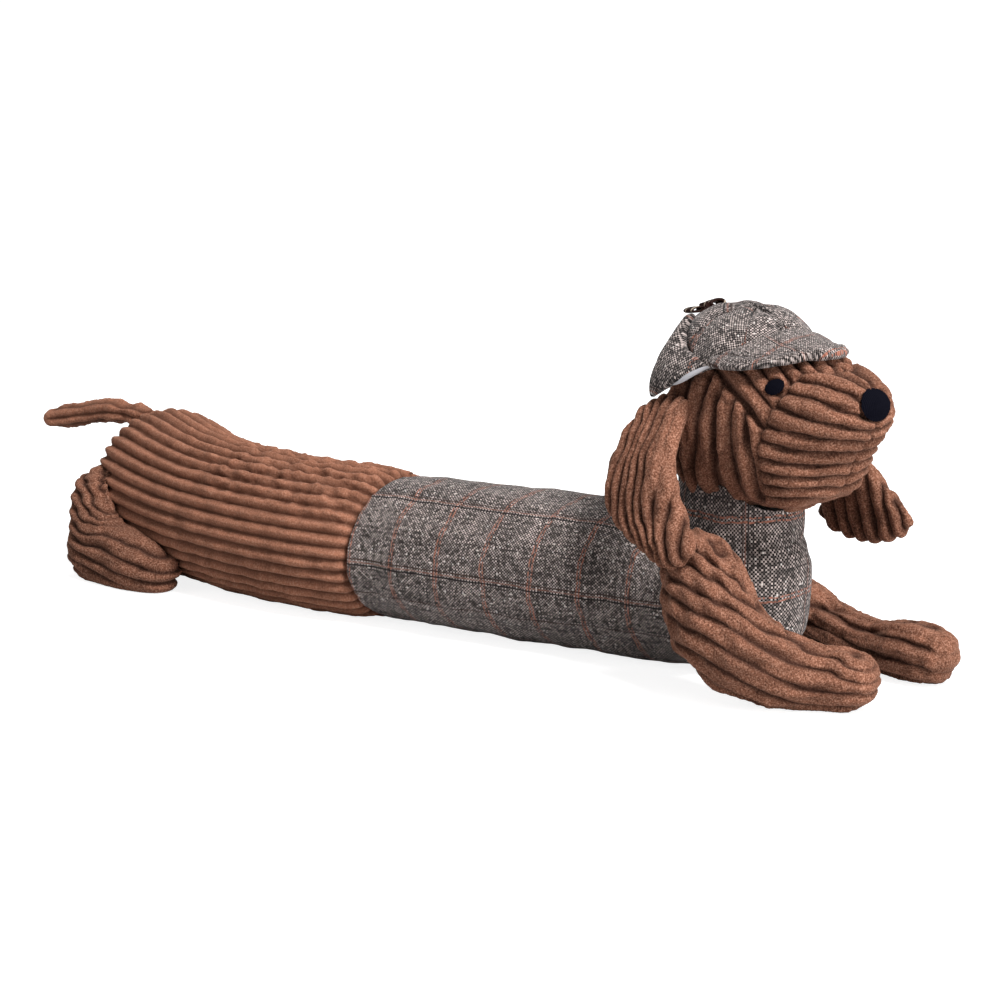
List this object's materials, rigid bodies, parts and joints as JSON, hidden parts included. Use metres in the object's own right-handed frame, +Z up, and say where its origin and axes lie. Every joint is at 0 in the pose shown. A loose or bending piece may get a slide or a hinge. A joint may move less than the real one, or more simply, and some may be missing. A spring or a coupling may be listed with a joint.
{
  "type": "draught excluder",
  "caption": "Stuffed hound in ribbed cord and tweed with a flat peaked cap, stretched out with its head up, to lie along the foot of a door and keep draughts out.",
  "frame": {"origin": "middle of the underside of the bounding box, on the floor", "axes": "+X from the tail towards the nose, +Z up, -Y towards the hound's right side"},
  "size_m": [0.9272, 0.2826, 0.306],
  "materials": {
    "brown_corduroy": "jumbo cord pile",
    "grey_tweed": "woven wool, checked",
    "black_thread": "close satin stitch",
    "pale_satin": "satin lining",
    "striped_ribbon": "woven ribbon"
  },
  "bodies": {
    "root": {"back_leg_left": "brown_corduroy", "back_leg_right": "brown_corduroy", "body_back": "brown_corduroy", "bow_knot": "striped_ribbon", "bow_loop_left": "striped_ribbon", "bow_loop_right": "striped_ribbon", "cap_flap_left": "grey_tweed", "cap_flap_right": "grey_tweed", "cap_lining_left": "pale_satin", "cap_lining_right": "pale_satin", "cap_panel_1": "grey_tweed", "cap_panel_2": "grey_tweed", "cap_panel_3": "grey_tweed", "cap_panel_4": "grey_tweed", "cap_panel_5": "grey_tweed", "cap_panel_6": "grey_tweed", "cap_peak": "grey_tweed", "coat": "grey_tweed", "ear_left": "brown_corduroy", "ear_right": "brown_corduroy", "eye_left": "black_thread", "eye_right": "black_thread", "front_leg_left": "brown_corduroy", "front_leg_right": "brown_corduroy", "head_cheeks": "brown_corduroy", "head_forehead": "brown_corduroy", "head_muzzle": "brown_corduroy", "nose": "black_thread", "tail": "brown_corduroy"}
  },
  "joints": []
}
